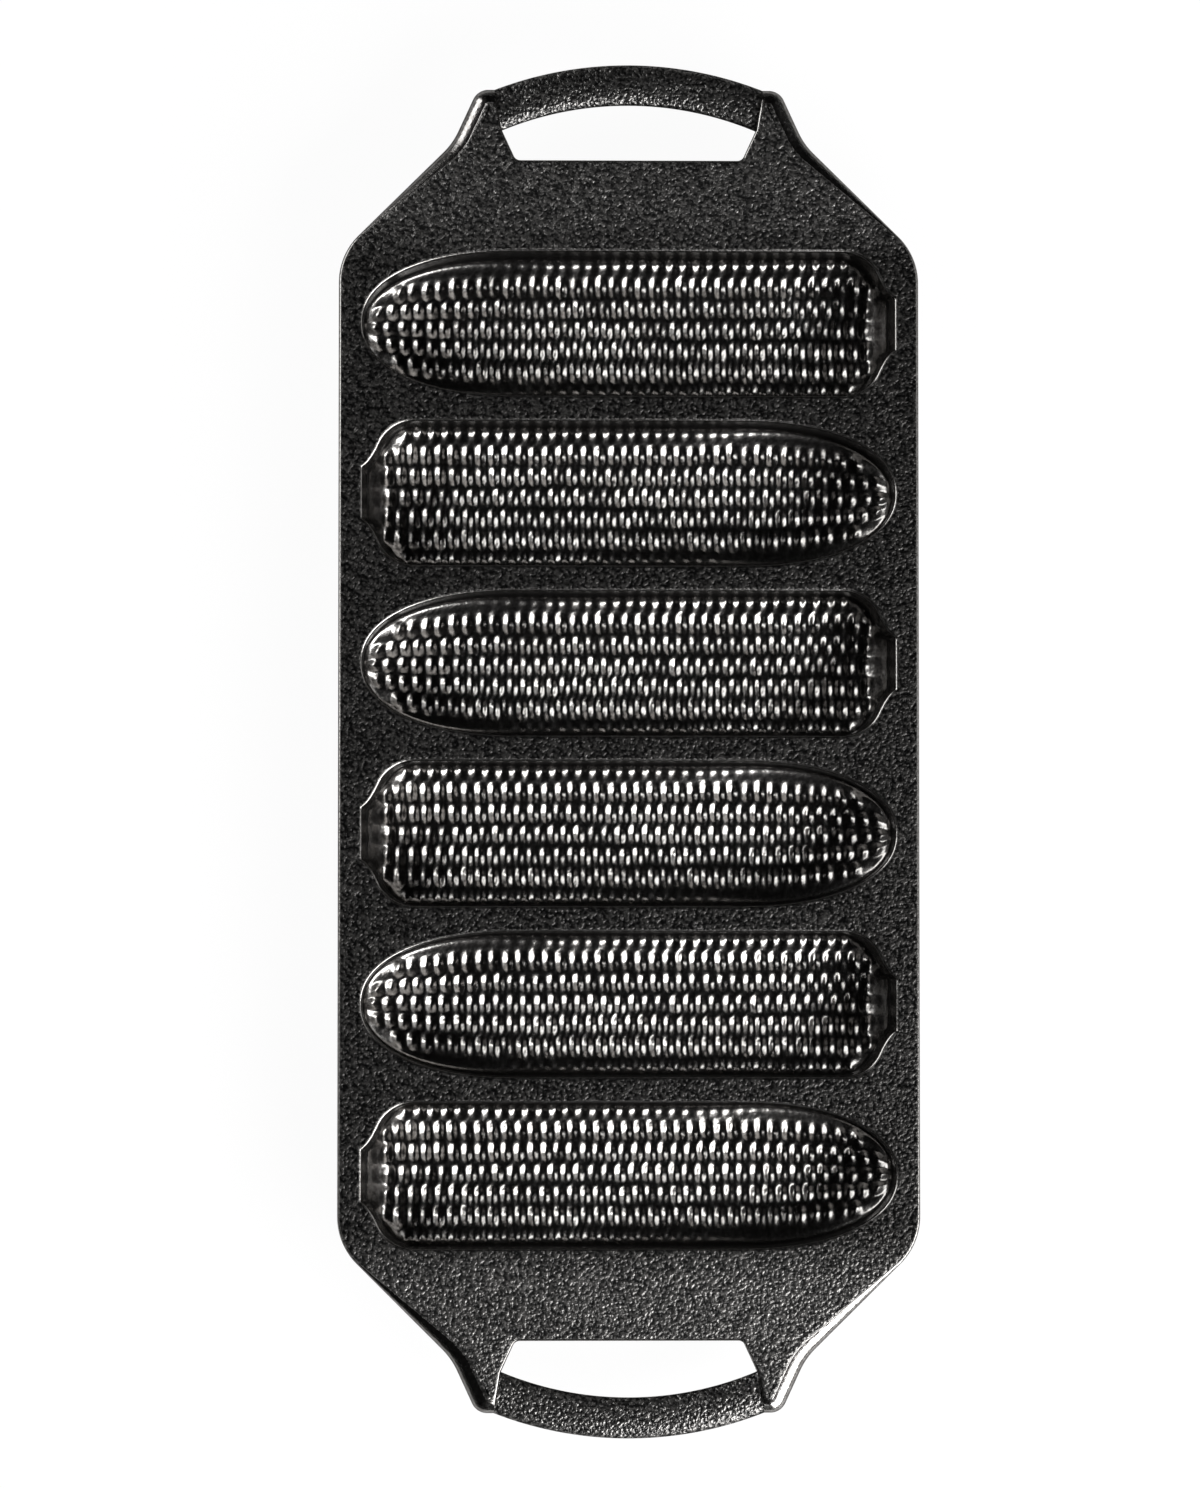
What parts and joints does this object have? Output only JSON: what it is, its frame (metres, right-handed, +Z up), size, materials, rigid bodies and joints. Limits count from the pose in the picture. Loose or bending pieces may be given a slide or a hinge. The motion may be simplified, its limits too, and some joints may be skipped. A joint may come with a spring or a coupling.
{
  "type": "corn stick pan",
  "caption": "Flat cast iron baking pan with cob shaped moulds laid tip to stem, kernel dimples in each, and a curved grip bar between two horns at each end.",
  "frame": {"origin": "on the surface that the pan rests on, under the middle of the pan", "axes": "+X along the cobs, +Y along the pan from grip bar to grip bar, towards the top of the picture, +Z up out of the moulds"},
  "size_m": [0.1582, 0.3746, 0.0212],
  "materials": {
    "cast_iron_moulds": "seasoned black, sand-cast grain on the deck, smoother in the moulds",
    "cast_iron_shelves": "seasoned black, sand-cast grain",
    "cast_iron_bars": "seasoned black, rounded by handling"
  },
  "bodies": {
    "root": {"cob_mould_1": "cast_iron_moulds", "cob_mould_2": "cast_iron_moulds", "cob_mould_3": "cast_iron_moulds", "cob_mould_4": "cast_iron_moulds", "cob_mould_5": "cast_iron_moulds", "cob_mould_6": "cast_iron_moulds", "end_shelf_far": "cast_iron_shelves", "end_shelf_near": "cast_iron_shelves", "grip_bar_far": "cast_iron_bars", "grip_bar_near": "cast_iron_bars"}
  },
  "joints": []
}
